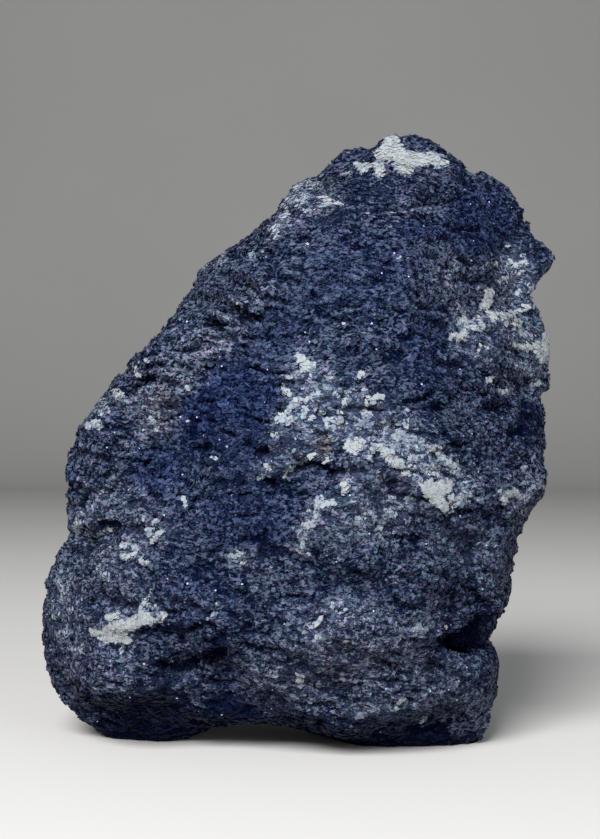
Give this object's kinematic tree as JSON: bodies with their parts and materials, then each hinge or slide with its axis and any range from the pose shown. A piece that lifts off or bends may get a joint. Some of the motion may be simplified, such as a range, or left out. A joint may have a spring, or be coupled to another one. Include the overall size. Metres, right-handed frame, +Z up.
{
  "type": "rough covellite stone",
  "caption": "Rough, upright lump of massive indigo-blue covellite with crumbly broken faces and pale crusts, standing on the worn lobes of its base.",
  "frame": {"origin": "on the surface that the stone stands on, under the middle of its bounding box", "axes": "+Z up along its height, +Y towards its back, +X to the right seen from the front"},
  "size_m": [0.0511, 0.0346, 0.0602],
  "materials": {
    "ore": "rough, crumbly, submetallic glints"
  },
  "bodies": {
    "root": {"covellite_stone": "ore"}
  },
  "joints": []
}
